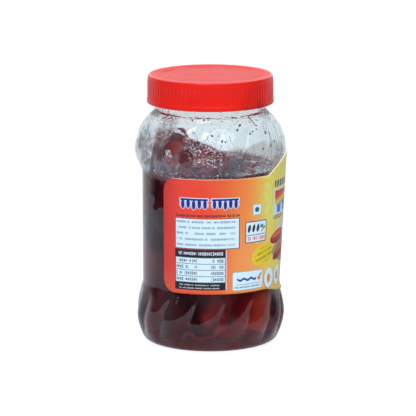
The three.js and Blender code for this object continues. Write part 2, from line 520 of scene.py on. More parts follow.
def jar():
    """The outside goes from under the foot up to the rim, and the inside from there down again."""
    rim_rise = rim - neck_bottom
    outside = foot_outline(0, 3.9) + wall_outline(0)
    outside += outline(*((neck_radius + radius, neck_bottom + height) for radius, height in (
        (1.0, 0.6), (0.4, 1.1), (0, 2), (0, 8.4), (0.5, 9.3), (1.9, 10.6), (2.4, 11), (1.9, 11.4),
        (0.5, 12.7), (0, 13.6), (0, rim_rise - 0.6), (-0.2, rim_rise - 0.2), (-0.6, rim_rise),
        (-neck_wall + 0.2, rim_rise),
    )))
    inside = outline((neck_radius - neck_wall, rim - 0.3), (neck_radius - neck_wall, neck_bottom + 0.4))
    inside += wall_outline(wall)[::-1]
    floor = outline((foot_inner_radius, wall))
    arc(floor, (33, 4.7), (foot_inner_radius - dome_edge, dome_rise - 1 + wall), 5)
    inside += floor[1:] + outline((0, dome_rise + wall))
    wet = [i for i, point in enumerate(outside + inside) if i >= len(outside) and point.z < syrup_level]
    skin = turned(outside + inside, flutes, steps_per_flute, wet)
    mark = skin.verts.layers.int["wet"]
    valley = skin.verts.layers.float.new("valley")
    for vert in skin.verts:
        # How strongly each valley is paled: scuffs and painted highlights
        valley_strength = min(flute_depth(vert.co.z), 1) * (1 if vert.co.z > waist_top else 0.3)
        vert[valley] = (1 - abs(math.sin(turn_of(vert.co) * flutes / 2))) ** 16 * valley_strength
        vert.co = fluted(vert.co)
    for face in skin.faces:
        face.material_index = int(all(vert[mark] for vert in face.verts))
    finished("clear_jar", skin, [jar_finish(), wet_wall_finish()], "jar")


jar()


# Syrup
# Dark red sugar syrup, boiled down with the carrots. It wets the wall, so it climbs a little at its edge.
meniscus_rise = 1.1
meniscus_width = 3.0


def syrup_finish(name, roughness, bending, ripple):
    """Clear red; light that passes through it loses its green and blue on the way."""
    finish, recipe = new_finish(name)
    sockets = {
        "Base Color": (0.9, 0.5, 0.4, 1),
        "Roughness": roughness,
        "IOR": bending,
        "Transmission Weight": 1.0,
    }
    if ripple:
        sockets["Normal"] = recipe.bump(recipe.speckle(90, 1), 0.002, ripple)
    recipe.surface(sockets, recipe.depth((0.95, 0.66, 0.58, 1), 300.0))
    return finish


def syrup():
    """Out to the middle of the wall, so that no air shows between them; only its top shines."""
    side = wall_outline(wall / 2)
    edge = syrup_level + meniscus_rise
    line = foot_outline(wall / 2, 4.3)
    line += [point for point in side if point.z < edge]
    shore = radius_at(side, edge)
    line += outline((shore, edge))
    arc(line, (shore - 0.9, syrup_level), (shore - meniscus_width, syrup_level), 4)
    line += outline(*((shore * share, syrup_level) for share in (0.75, 0.5, 0.25, 0)))
    skin = turned(line, flutes, steps_per_flute)
    for vert in skin.verts:
        vert.co = fluted(vert.co)
    skin.normal_update()
    for face in skin.faces:
        if face.calc_center_median().z > syrup_level - 0.6 and face.normal.z > 0.15:
            face.material_index = 1
    finishes = [syrup_finish("syrup", 0.0, 1.0, 0), syrup_finish("syrup surface", 0.03, 1.45, 0.3)]
    finished("syrup", skin, finishes)


syrup()


# Carrot pieces
# Short lengths of carrot, boiled in the syrup until they are dark and see-through at the edges. They lie
# any way against the wall and each other; a few on the left stand out of the syrup.
heap_radius = 43.9
core_radius = 29.0
core_bottom = 9.0
core_top = 112.0
core_steps = 48
layer_heights = (30, 66, 98)
pieces_per_layer = 7
piece_length = 46.0
piece_radius = 12.5
piece_steps = 28


def scatter(index, salt):
    """A steady scatter of values between 0 and 1 from a whole number."""
    value = math.sin(index * 12.9898 + salt * 78.233) * 43758.5453
    return value - math.floor(value)


def standing_pieces():
    """The layers that stand round the core against the wall, each piece leaning one way or the other."""
    places = []
    for layer, height in enumerate(layer_heights):
        for k in range(pieces_per_layer):
            index = layer * pieces_per_layer + k
            radius = piece_radius * (0.86 + 0.24 * scatter(index, 1))
            length = piece_length * (0.82 + 0.2 * scatter(index, 2))
            lean = (1 if k % 2 else -1) * (8 + 18 * scatter(index, 3))
            sideways = math.sin(math.radians(abs(lean))) * length * 0.42
            reach = math.sqrt((heap_radius - radius) ** 2 - sideways ** 2)
            angle = 360 / pieces_per_layer * (k + 0.5 * layer) + 14 * (scatter(index, 4) - 0.5)
            places.append((angle, height, lean, 0, length, radius, 0.22, reach))
    return places


# Pieces on top of the layers, each with its angle, height, lean, tip, length, radius, taper and reach
top_pieces = [
    (-45, 125.5, -17, 3, 46, 15, 0.4, 28),
    (-92, 122, 8, 0, 44, 13, 0.35, 29.5),
    (-14, 128.2, -60, 10, 46, 12.5, 0.3, 28),
    (-140, 116, 50, 0, 40, 12, 0.2, 22),
    (60, 107, 68, 6, 42, 11.5, 0.2, 22),
    (150, 107, -66, 0, 42, 11.5, 0.2, 22),
]


# Where the flesh is paler or darker than the rest, how far that holds and reaches, and its colour; some of
# them are painted light
flesh_and_light_spots = [
    # Amber, low on the right: a painted glow of light that comes in through the base
    ((34, -28, 18), 15, 25, (0.54, 0.24, 0.09, 1)),
    ((9, -41, 12), 4, 10, (0.42, 0.15, 0.08, 1)),
    ((-29, -32, 133), 4, 14, (0.42, 0.036, 0.010, 1)),
    ((-39, -21, 112), 7, 14, (0.40, 0.024, 0.022, 1)),
    ((20, 34, 60), 12, 24, (0.44, 0.25, 0.12, 1)),
    ((17, -36, 27), 8, 15, (0.44, 0.014, 0.016, 1)),
    ((-8, -43, 36), 6, 13, (0.060, 0.005, 0.010, 1)),
    ((-24, -36, 30), 8, 18, (0.070, 0.005, 0.010, 1)),
    ((-28, -34, 8), 9, 18, (0.080, 0.006, 0.012, 1)),
    ((-37, -24, 84), 14, 26, (0.045, 0.006, 0.012, 1)),
    # These three, round the gap near (-34, -21, 104): painted light in the shade between the pieces
    ((-38, -24, 100), 5, 12, (0.13, 0.010, 0.015, 1)),
    ((-33, -15, 109), 5, 10, (0.36, 0.022, 0.026, 1)),
    ((-30, -24, 103), 6, 11, (0.13, 0.010, 0.012, 1)),
]


def carrot_length(length, radius, taper, index):
    """One cut length of carrot, with a rounded, wrinkled skin and a slightly sunk heart at each end."""
    half = length / 2
    top = radius * (1 - taper)
    line = outline((0, -half + 0.9), (radius * 0.3, -half + 0.7), (radius * 0.42, -half),
                   (radius * 0.8, -half + 0.4))
    arc(line, (radius * 1.02, -half + 0.8), (radius * 0.98, -half * 0.7), 4)
    arc(line, (radius * 1.02, -half * 0.2), (top * 1.02, half * 0.66), 8)
    arc(line, (top * 0.95, half - 0.6), (top * 0.72, half - 0.2), 4)
    line += outline((top * 0.4, half), (top * 0.28, half - 0.8), (0, half - 0.9))
    skin = turned(line, 1, piece_steps)
    for vert in skin.verts:
        out = Vector((vert.co.x, vert.co.y, 0))
        seed = Vector((index * 7.3, index * 3.1, 0))
        coarse = noise.noise(vert.co * 0.06 + seed)
        wrinkle = noise.noise(Vector((vert.co.x * 0.25, vert.co.y * 0.25, vert.co.z * 0.7)) + seed)
        vert.co += out * (0.07 * coarse + 0.03 * wrinkle)
    return skin


def placed(skin, angle, height, lean, tip, reach):
    """Leans a piece, moves it out from the axis, and turns it round the jar to its place."""
    for turn in ((0, math.radians(lean), 0), (math.radians(tip), 0, 0)):
        bmesh.ops.rotate(skin, cent=(0, 0, 0), matrix=Euler(turn).to_matrix(), verts=skin.verts)
    bmesh.ops.translate(skin, vec=(0, -reach, height), verts=skin.verts)
    turn = Euler((0, 0, math.radians(angle))).to_matrix()
    bmesh.ops.rotate(skin, cent=(0, 0, 0), matrix=turn, verts=skin.verts)


def gathered(skins):
    """Joins several skins into one."""
    whole = bmesh.new()
    for skin in skins:
        part = bpy.data.meshes.new("part")
        skin.to_mesh(part)
        skin.free()
        whole.from_mesh(part)
        bpy.data.meshes.remove(part)
    return whole


def carrot_finish():
    """Dark and mottled; browner where a piece stands dry, and painted bright red deep in the heap, against
    the shade between the pieces.
    """
    finish, recipe = new_finish("candied carrot")
    place = recipe.place()
    across, along, height = recipe.axes(place)
    mottle = recipe.speckle(48, 3)
    patchy = mottle.rise(0.38, 0.62)
    deep = recipe.speckle(260, 4)
    flesh = recipe.blend(patchy, (0.070, 0.005, 0.009, 1), (0.29, 0.014, 0.017, 1))
    flesh = recipe.blend(deep.rise(0.5, 0.75) * 0.5, flesh, (0.07, 0.007, 0.010, 1))
    # Deep in the heap the flesh is painted bright red: painted light against the shade in the gaps between
    # the pieces
    inside = (1 - (across ** 2 + along ** 2).rise(0.031 ** 2, 0.037 ** 2)) * (1 - height.rise(0.085, 0.1))
    flesh = recipe.blend(inside * 0.8, flesh, (0.60, 0.020, 0.028, 1))
    dry = height.rise(syrup_level * 0.001 - 0.001, syrup_level * 0.001 + 0.006)
    dry_flesh = recipe.blend(patchy, (0.12, 0.008, 0.008, 1), (0.28, 0.024, 0.012, 1))
    flesh = recipe.blend(dry, flesh, dry_flesh)
    for spot, inner, outer, hue in flesh_and_light_spots:
        flesh = recipe.blend(recipe.near(place, spot, inner, outer), flesh, hue)
    recipe.surface({
        "Base Color": flesh,
        "Roughness": 0.16 + 0.1 * mottle,
        "IOR": 1.45,
        "Specular IOR Level": 0.16,
        "Normal": recipe.bump(deep, 0.0008, 0.4),
    })
    return finish


def carrots():
    core = turned(outline(
        (0, core_bottom), (core_radius - 3, core_bottom), (core_radius, core_bottom + 4),
        (core_radius, core_top - 6), (core_radius - 8, core_top), (0, core_top),
    ), 1, core_steps)
    skins = [core]
    for index, place in enumerate(standing_pieces() + top_pieces):
        angle, height, lean, tip, length, radius, taper, reach = place
        skin = carrot_length(length, radius, taper, index)
        placed(skin, angle, height, lean, tip, reach)
        skins.append(skin)
    finished("carrot_pieces", gathered(skins), [carrot_finish()], "carrots")


carrots()


# Drops and bubbles
# Syrup that splashed up the clear wall and dried there in drops and thin smears, and froth that clings to the
# wall along the syrup's edge and to the pieces that stand out of it, where its white beads also paint the
# pieces' glints.
drop_count = 250
smear_count = 72
froth_count = 420
glint_count = 15000
far_froth_count = 520
right_froth_count = 170
surface_count = 700
surface_radius = 46.0
top_glint_bead_count = 60
neck_bead_count = 720
run_bead_count = 12
smear_pitch = 0.4
smear_top = 157.0

# Runs below the lid, each with the angle and the height of its turns
lid_runs = [((-50, 161), (-50.2, 157), (-55, 155.4)), ((-60, 161.3), (-60, 158.9), (-56, 158)),
            ((-71, 156.8), (-64, 156.2)), ((-46, 156), (-42.5, 157.3), (-40, 156)),
            ((42, 158), (43.5, 155.5), (44, 152.5), (46, 151.8))]
inner_outline = wall_outline(wall)


def wall_point(angle, height, off=0.0):
    """A point on the inside of the wall, moved off it towards the axis, and the turn there."""
    radius = radius_at(inner_outline, height) - off
    point = fluted(round_jar(angle - flute_turn(height), radius, height))
    return point, turn_of(point)


def small_ball():
    """The corners and sides of one small ball."""
    ball = bmesh.new()
    bmesh.ops.create_icosphere(ball, subdivisions=1, radius=1)
    corners = [vert.co.copy() for vert in ball.verts]
    return corners, [[vert.index for vert in face.verts] for face in ball.faces]


def bead(skin, point, turn, size, flat, tall):
    """Adds a small ball that is turned to the wall, flat against it, and taller or lower than it is wide."""
    squash = Matrix.Diagonal((size, size * flat, size * tall, 1))
    shape = Matrix.Translation(point) @ Matrix.Rotation(turn, 4, "Z") @ squash
    corners = [skin.verts.new(shape @ corner) for corner in ball_corners]
    for side in ball_sides:
        skin.faces.new([corners[k] for k in side])


def speckled_finish(name, grains, below, above, sockets):
    finish, recipe = new_finish(name)
    recipe.surface({"Base Color": recipe.blend(recipe.speckle(grains), below, above), **sockets})
    return finish


def dried_syrup_finish():
    return speckled_finish("dried syrup", 400, (0.03, 0.012, 0.016, 1), (0.13, 0.022, 0.022, 1),
                           {"Roughness": 0.12, "IOR": 1.45})


def smear_finish():
    return speckled_finish("syrup smear", 120, (0.62, 0.03, 0.03, 1), (0.30, 0.06, 0.04, 1),
                           {"Roughness": 0.2, "IOR": 1.45})


def froth_finish():
    return speckled_finish("froth", 300, (0.86, 0.80, 0.82, 1), (1.0, 0.99, 1.0, 1), {
        "Roughness": 0.12,
        "IOR": 1.45,
        # The froth glows a little: painted light, for the light that the jar's wall keeps from it
        "Emission Color": (1.0, 0.97, 1.0, 1),
        "Emission Strength": 0.16,
    })


def mostly(chance, low, spread, power):
    """A value from low up to low + spread, and mostly near low."""
    return low + spread * chance.random() ** power


def drops():
    """Dried drops all round the shoulder, on the wall above the syrup."""
    chance = random.Random(7)
    skin = bmesh.new()
    for _ in range(drop_count):
        size = mostly(chance, 0.25, 0.85, 3)
        height = mostly(chance, 124, 34, 1.2)
        point, turn = wall_point(chance.uniform(-180, 180), height)
        bead(skin, point, turn, size, 0.4, chance.uniform(0.7, 1.6))
    finished("dried_drops", skin, [dried_syrup_finish()])


def neck_line(skin):
    """The broken red line round the foot of the neck."""
    for k in range(neck_bead_count):
        angle = k * 360 / neck_bead_count
        place = round_jar(angle, neck_radius + 1, neck_bottom)
        thick = 0.14 + noise.noise(place * 0.35) * 0.55
        if thick > 0.05:
            height = 158.1 + 0.8 * noise.noise(place * 0.12) + 0.3 * noise.noise(place * 0.8)
            bead(skin, *wall_point(angle, height), min(thick, 0.34) + 0.1, 0.7, 0.9)


def smears():
    """Thin runs: dark ones along the flutes, and red ones just under the lid, round the foot of the neck."""
    chance = random.Random(23)
    dark, red = bmesh.new(), bmesh.new()
    for number in range(smear_count):
        angle, length = chance.uniform(-180, 180), chance.uniform(2, 9)
        round_neck = number % 3 == 0
        skin = red if round_neck or number % 5 == 1 else dark
        height = chance.uniform(157.6, 158.3) if round_neck else chance.uniform(122, 152)
        size = chance.uniform(0.12, 0.26)
        for k in range(int(length / smear_pitch)):
            wobble = 0.5 * math.sin(k * 0.5 + number)
            along = k * smear_pitch
            if round_neck:
                point, turn = wall_point(angle + along * 1.5, height + wobble * 0.4)
            else:
                point, turn = wall_point(angle + along * 0.55 + wobble * 0.6, min(height + along, smear_top))
            bead(skin, point, turn, size * chance.uniform(0.6, 1.2), 0.5, 1)
    neck_line(red)
    for run in lid_runs:
        for (start, high), (end, low) in zip(run, run[1:]):
            for k in range(run_bead_count):
                angle = start + (end - start) * k / run_bead_count
                height = high + (low - high) * k / run_bead_count
                bead(red, *wall_point(angle, height), 0.42, 0.6, 1)
    finished("red_smears", red, [smear_finish()])
    finished("dark_smears", dark, [dried_syrup_finish()])


def froth_on_wall(skin, chance):
    """Bubbles along the syrup's edge, most of them behind, up the wall on the right, and three low down."""
    for _ in range(froth_count):
        size = mostly(chance, 0.18, 0.45, 3)
        point, turn = wall_point(chance.uniform(-180, 180), mostly(chance, 118.5, 6, 2), 0.2)
        bead(skin, point, turn, size, 0.7, 1)
    for _ in range(far_froth_count):
        point, turn = wall_point(chance.uniform(85, 178), chance.gauss(120.2, 0.7), 0.4 + chance.random())
        bead(skin, point, turn, chance.uniform(0.15, 0.5), 0.8, 1)
    for _ in range(right_froth_count):
        point, turn = wall_point(chance.uniform(12, 64), mostly(chance, 120, 20, 1.4), 0.1)
        bead(skin, point, turn, mostly(chance, 0.16, 0.22, 2), 0.8, 1)
    for angle, height in ((-28.4, 35), (-28.8, 33.2), (-28, 36.8)):
        bead(skin, *wall_point(angle, height, 0.3), 0.3, 0.7, 1)


def froth_on_surface(skin, chance):
    """Bubbles that float in rafts on the syrup."""
    for _ in range(surface_count):
        spot = round_jar(chance.uniform(-180, 180), surface_radius * math.sqrt(chance.random()), syrup_level)
        if noise.noise(spot * 0.09) > -0.1:
            bead(skin, spot, 0, mostly(chance, 0.15, 0.35, 3), 1, 0.6)


def bubbles_on_pieces(skin, chance):
    """Short chains of tiny white bubbles in patches on the pieces that stand out, most where their front
    slopes; they are froth and painted glints.
    """
    for _ in range(glint_count):
        side = chance.choice(standing_out)
        first, second, third = (heap.vertices[k].co for k in side.vertices[:3])
        spot = second + (first - second) * chance.random() + (third - second) * chance.random()
        x, z = spot.x * 1000, spot.z * 1000
        crowded = step(-20, -12, x) * (1 - step(0, 9, x)) * step(123, 129, z) if spot.y < -0.008 else 0
        if noise.noise(spot * 90) < 0.38 - 1.1 * crowded:
            continue
        size = mostly(chance, 0.15, 0.2, 2)
        course = Vector((0.8, 0, -0.5)) + 0.7 * Vector([chance.gauss(0, 1) for _ in range(3)])
        course = (course - side.normal * course.dot(side.normal)).normalized() * size * 1.2
        for k in range(chance.randint(1, 3)):
            bend = side.normal.cross(course) * 0.15 * k * k
            bead(skin, spot * 1000 + side.normal * 0.2 + course * k + bend, 0, size, 1, 1)
    # A cluster of larger white beads on the top piece's upper front: a painted highlight where its wet top
    # catches the light
    for _ in range(top_glint_bead_count):
        along = chance.gauss(0, 2.2)
        aside, above = chance.gauss(0, 0.6), chance.gauss(0, 0.6)
        spot = Vector((-22 + along, -33.5 + 0.12 * along + aside, 149 - 0.3 * along + above))
        bead(skin, spot, 0, chance.uniform(0.3, 0.7), 1, 0.7)


def froth():
    chance = random.Random(11)
    skin = bmesh.new()
    froth_on_wall(skin, chance)
    froth_on_surface(skin, chance)
    bubbles_on_pieces(skin, chance)
    finished("froth", skin, [froth_finish()])


ball_corners, ball_sides = small_ball()
heap = bpy.data.objects["carrot_pieces"].data
# Spinning lists the faces in another order each run, and the bubbles need the same order each time
standing_out = [side for side in heap.polygons if side.center.z * 1000 > syrup_level - 1]
standing_out.sort(key=lambda side: tuple(side.center))
drops()
smears()
froth()


# Label
# A printed film wrapped most of the way round, with rounded ends. It hugs the waist at the back, and
# bridges the hollow between base and shoulder at the front, where its edges rise and dip in an arch.
film_thickness = 0.4
label_gap = 0.35
label_start = -41.8
label_sweep = 293.0
label_bottom = 40.4
label_top = 118.6
label_corner = 9.0
arch_centre = 105.0
arch_half_width = 53.0
arch_rise = 15.2
arch_dip = 5.5
picture_start = 60.0
label_columns = 220
label_rows = 48
mm_per_degree = math.radians(waist_radius + 0.5)
chart_height = 200.0
print_edge = 0.16
garland_height = 98.6
garland_drops = 5
table_low = 48.6
table_pitch = 4.22
big_oval_pitch = 11.4
paper_white = (0.67, 0.84, 0.90, 1)

# Colours along the film, by how far they lie from the middle of the arch, from 0 to 1
# The yellows from 0.27 to 0.40 are the print's, painted lighter against the shade where the film turns away
# at the side
ground_stops = [(0, ink(238, 212, 94)), (0.27, ink(228, 216, 98)), (0.36, ink(236, 218, 98)),
                (0.40, ink(234, 190, 86)), (0.45, ink(238, 158, 68)), (0.5, ink(238, 132, 58)),
                (0.6, ink(232, 102, 48)), (0.73, ink(236, 69, 40)), (0.87, ink(234, 63, 42)),
                (0.98, ink(206, 48, 39))]

# Colours of the ribbon on the front, from its foot up
ribbon_stops = [(0, ink(50, 96, 176)), (0.4, ink(80, 124, 190)), (0.5, ink(232, 200, 64)),
                (0.66, ink(234, 176, 64)), (0.74, ink(220, 80, 56)), (1, ink(206, 44, 56))]

# Carrots on the front, each with its place, height, half length and tilt
front_carrots = [(-30, 75, 10, 12), (-22, 66, 15, 24), (-10, 74, 16, 62), (3, 67, 17, -16), (13, 74, 15, 42),
                 (22, 66, 15, -24), (30, 75, 10, -12)]


def arch_share(angle):
    return max(1 - ((angle - arch_centre) / arch_half_width) ** 2, 0)


def label_radius(angle, height):
    """The film's inner face: loose over the hollow in front, and out over the shoulder's and base's rise."""
    front = step(0, 85, angle) * (1 - step(125, 210, angle))
    climb = (height - waist_bottom) / (shoulder_widest - waist_bottom)
    taut = waist_radius + 0.5 + (shoulder_radius - waist_radius - 0.5) * climb
    loose = waist_radius + (taut - waist_radius) * front
    flare = waist_radius + (shoulder_radius - waist_radius) * step(waist_top - 1, shoulder_widest, height)
    spread = waist_radius + 0.24 * max(waist_bottom - 1 - height, 0) + 0.5 * step(4, 0, height - 36)
    return max(loose, flare, spread) + label_gap


def stencil(name, sizes, draw, *usual):
    """A shape that is cut once, as a node group, and then used wherever the print has it. The usual values
    are for the last sizes, where a use leaves them out."""
    tree = bpy.data.node_groups.new(name, "ShaderNodeTree")
    for size in ("u", "v", *sizes):
        tree.interface.new_socket(size, in_out="INPUT", socket_type="NodeSocketFloat")
    tree.interface.new_socket("mask", in_out="OUTPUT", socket_type="NodeSocketFloat")
    recipe = Recipe(tree)
    entry = tree.nodes.new("NodeGroupInput")
    mask = draw(*(Field(recipe, socket) for socket in entry.outputs[:len(sizes) + 2]))
    tree.links.new(mask.socket, tree.nodes.new("NodeGroupOutput").inputs[0])

    def use(u, v, *values):
        left_out = len(sizes) - len(values)
        sockets = dict(enumerate((u, v, *values, *usual[len(usual) - left_out:])))
        return u.recipe.node("Group", {"node_tree": tree}, sockets)

    return use


def draw_patch(u, v, left, right, low, high, corner):
    """1 on a rectangle of the film, in millimetres, and 0 off it."""
    across = abs(u - (left + right) / 2) - ((right - left) / 2 - corner)
    up = abs(v - (low + high) / 2) - ((high - low) / 2 - corner)
    beyond = (across.higher_of(0) ** 2 + up.higher_of(0) ** 2) ** 0.5
    return 1 - beyond.rise(corner - print_edge, corner + print_edge)


def draw_oval(u, v, middle, height, half_width, half_height, tilt):
    slope = tilt * (math.pi / 180)
    rise, run = slope.sine(), slope.math("COSINE", slope)
    du, dv = u - middle, v - height
    along = (du * run + dv * rise) / half_width
    aside = (dv * run - du * rise) / half_height
    soft = print_edge * 2 / half_width.lower_of(half_height)
    return 1 - (along ** 2 + aside ** 2).rise(1 - soft, 1 + soft)


def draw_small_print(u, v, low, pitch, share, word):
    """Rows of little marks in groups of uneven length, as fine print looks from afar."""
    row = (v - low) / pitch
    line = row.floor()
    mark = u / (pitch * share * 0.62)
    count = mark.floor()
    chance = u.recipe.node("TexWhiteNoise", {"noise_dimensions": "2D"}, {
        "Vector": u.recipe.node("CombineXYZ", {}, {0: count, 1: line}),
    })
    where = u.recipe.node("CombineXYZ", {}, {0: u * word, 1: line * 7.3})
    groups = u.recipe.node("TexNoise", {"noise_dimensions": "2D"},
                           {"Vector": where, "Scale": 1.0, "Detail": 0.0}).rise(0.34, 0.38)
    tall = share * (0.32 + 0.22 * chance)
    height = abs(row - line - 0.5)
    wide = abs(mark - count - 0.5)
    solid = (1 - height.rise(tall - 0.05, tall + 0.05)) * (1 - wide.rise(0.3, 0.42))
    heart = (1 - wide.rise(0.06, 0.16)) * (1 - height.rise(tall * 0.4, tall * 0.7)) * chance.rise(0.3, 0.4)
    return solid * (1 - heart * 0.7) * groups


patch = stencil("patch", ("left", "right", "low", "high", "corner"), draw_patch, 0.2)
oval = stencil("oval", ("middle", "height", "half_width", "half_height", "tilt"), draw_oval, 0.0)
small_print = stencil("small_print", ("low", "pitch", "share", "word"), draw_small_print, 0.4, 0.42)


class Print:
    """The print as it is laid on: its colour so far, over u along the film and v up it, in millimetres."""

    def __init__(self, recipe, u, v):
        self.recipe = recipe
        self.u = u
        self.v = v
        self.colour = paper_white

    def lay(self, hue, mask):
        self.colour = self.recipe.blend(mask, self.colour, hue)

    def block(self, hue, *sizes):
        self.lay(hue, patch(self.u, self.v, *sizes))

    def dot(self, hue, *sizes):
        self.lay(hue, oval(self.u, self.v, *sizes))

    def rows(self, box, *sizes):
        """Small print that shows only inside a box."""
        return small_print(self.u, self.v, *sizes) * patch(self.u, self.v, *box)


def ground(sheet):
    """Red at both ends of the film, orange and then yellow towards the arch in front, with pale swirls."""
    u, v = sheet.u, sheet.v
    sheet.lay(ink(232, 118, 54), (1 - v.rise(38, 62)) * 0.3)
    light = (1 - v.rise(60, 112)) * u.rise(4, 20) * (1 - u.rise(34, 60))
    sheet.lay(ink(242, 164, 84), light * 0.5)
    glow = u.rise(34, 46) * (1 - u.rise(120, 134)) * (v.rise(82, 94) * (1 - v.rise(104, 116)))
    sheet.lay(ink(220, 230, 120), glow * 0.75)
    rings = ((u - 38) ** 2 + (v - 104) ** 2) ** 0.5 / 5 + sheet.recipe.speckle(22, 2) * 5
    swirl = abs(rings.fract() - 0.5).rise(0.3, 0.45)
    swirl = swirl * u.rise(24, 34) * (1 - u.rise(46, 54)) * v.rise(84, 96)
    sheet.lay(ink(244, 130, 70), swirl * 0.25)


def garlands(sheet):
    garland(sheet, -20.7, -1.7)
    garland(sheet, 0.9, 19.0)


def garland(sheet, left, right):
    """Dark blue with a white edge: a bar with drops of uneven length hanging from it."""
    u, v, height = sheet.u, sheet.v, garland_height
    pitch = (right - left) / garland_drops
    share = (u - left) / pitch
    cell = share.floor()
    swing = v - (cell * 2.3).sine() * 0.5
    across = (share - cell - 0.5) * pitch
    ends = patch(u, v, left - 0.4, right + 0.4, 0, chart_height)
    bar = patch(u, v, left - 0.6, right + 0.6, height + 5.1, height + 7.5)
    drops = oval(across, swing, 0, height + 3.3, pitch * 0.34 + 0.55, 3.6) * ends
    sheet.lay(paper_white, bar.higher_of(drops))
    ends = patch(u, v, left, right, 0, chart_height)
    bar = patch(u, v, left, right, height + 5.6, height + 7)
    drops = oval(across, swing, 0, height + 3.2, pitch * 0.34, 3.2) * ends
    sheet.lay(ink(26, 36, 128), (bar + drops).lower_of(1))


def facts_panels(sheet):
    """The white panel with rows of fine print, and under it the table with a black head and foot."""
    u, v = sheet.u, sheet.v
    sheet.lay(ink(44, 18, 20), sheet.rows((-23.6, 19.9, 92.6, 95.2), 92.6, 2.6, 0.7, 0.8))
    sheet.block(ink(62, 58, 62), -24.4, 19.9, 71.3, 92.2)
    sheet.block(paper_white, -24.0, 19.3, 71.8, 91.8)
    fading = 1 - (u - v * 0.6).rise(-38, -34) * 0.35
    sheet.lay(ink(60, 70, 80), sheet.rows((-23.4, 17, 72.2, 91.6), 72.2, 3.9) * fading * 0.8)
    sheet.block(ink(226, 196, 200), 10.1, 10.9, 43.3, 70.5)
    sheet.block(ink(16, 20, 24), -24.6, 10.2, 43.3, 71)
    body = patch(u, v, -24.0, 9.8, table_low, 65.5)
    sheet.lay(paper_white, body)
    rule = (v - table_low) / table_pitch
    rules = abs(rule - rule.math("ROUND", rule)).rise(0.05, 0.09)
    sheet.lay(ink(90, 98, 104), (1 - rules) * body * 0.75)
    columns = patch(u, v, -23.6, -9, 49.1, 64.6).higher_of(patch(u, v, 0.5, 9, 49.1, 64.6))
    sheet.lay(ink(60, 66, 74), small_print(u, v, table_low, table_pitch, 0.54) * columns * 0.9)
    head = sheet.rows((-22, 8.6, 66.3, 70.3), 66.2, 4.2, 0.55, 0.4)
    foot = sheet.rows((-21.5, 6, 43.7, 47.8), 43.6, 2.1, 0.38, 0.7)
    sheet.lay(ink(226, 232, 236), head.higher_of(foot) * 0.85)


def small_marks(sheet):
    """The green dot in its square, a white box with dark ovals, and a yellow oval."""
    u, v = sheet.u, sheet.v
    sheet.block(ink(150, 190, 170), 29.4, 36.1, 92.9, 100.3)
    sheet.block(paper_white, 29.8, 35.7, 93.3, 99.9)
    sheet.dot(ink(12, 104, 84), 32.7, 96.6, 1.75, 1.75)
    sheet.block(ink(52, 58, 54), 23.9, 41.2, 74.2, 88.9, 1.2)
    sheet.block(paper_white, 24.5, 40.6, 74.8, 88.3, 0.8)
    for middle in (26.9, 30.3, 33.7):
        sheet.dot(ink(44, 48, 54), middle, 84, 1.1, 2.7, -12)
    sheet.dot(ink(40, 84, 160), 36.9, 85, 1.5, 0.9, 40)
    sheet.dot(ink(64, 138, 62), 38.6, 83.6, 1.5, 0.9, 40)
    sheet.dot(ink(214, 190, 50), 37.4, 82.2, 1.5, 0.9, 40)
    sheet.block(ink(80, 86, 80), 25, 40.2, 79.2, 79.7)
    sheet.lay(ink(226, 92, 44), sheet.rows((25.6, 39.8, 75.6, 78.6), 75.6, 3, 0.9, 0.4))
    sheet.dot(ink(226, 200, 30), 39.4, 64.8, 10.4, 6.9, 14)
    slant = v - (u - 39.4) * 0.27
    lines = small_print(u, slant, 61.2, 3.6, 0.45, 0.6) * oval(u, v, 39.4, 64.8, 8.6, 4.9, 14)
    sheet.lay(ink(70, 64, 30), lines * 0.8)


def white_badge(sheet):
    """A white box with a wavy blue band, an orange dot and a green leaf over a row of fine print."""
    u, v = sheet.u, sheet.v
    sheet.block(ink(150, 170, 168), 14.8, 38.8, 42.3, 55.2, 1.4)
    sheet.block(paper_white, 15.2, 38.4, 42.7, 54.8, 1.1)
    swing = (u * 1.15).sine() * 0.6 + 49.6
    sheet.lay(ink(52, 66, 142), (1 - abs(v - swing).rise(0.6, 1.0)) * patch(u, v, 18.2, 33, 46, 54))
    sheet.dot(ink(230, 112, 44), 35.4, 49.4, 1.4, 1.4)
    sheet.dot(ink(52, 128, 60), 36.6, 51.6, 1.5, 0.6, 50)
    sheet.block(ink(120, 132, 150), 17.4, 37, 46.1, 46.5)
    sheet.lay(ink(70, 80, 100), sheet.rows((16.4, 37.4, 43.5, 45.4), 43.4, 2, 0.6, 0.9))


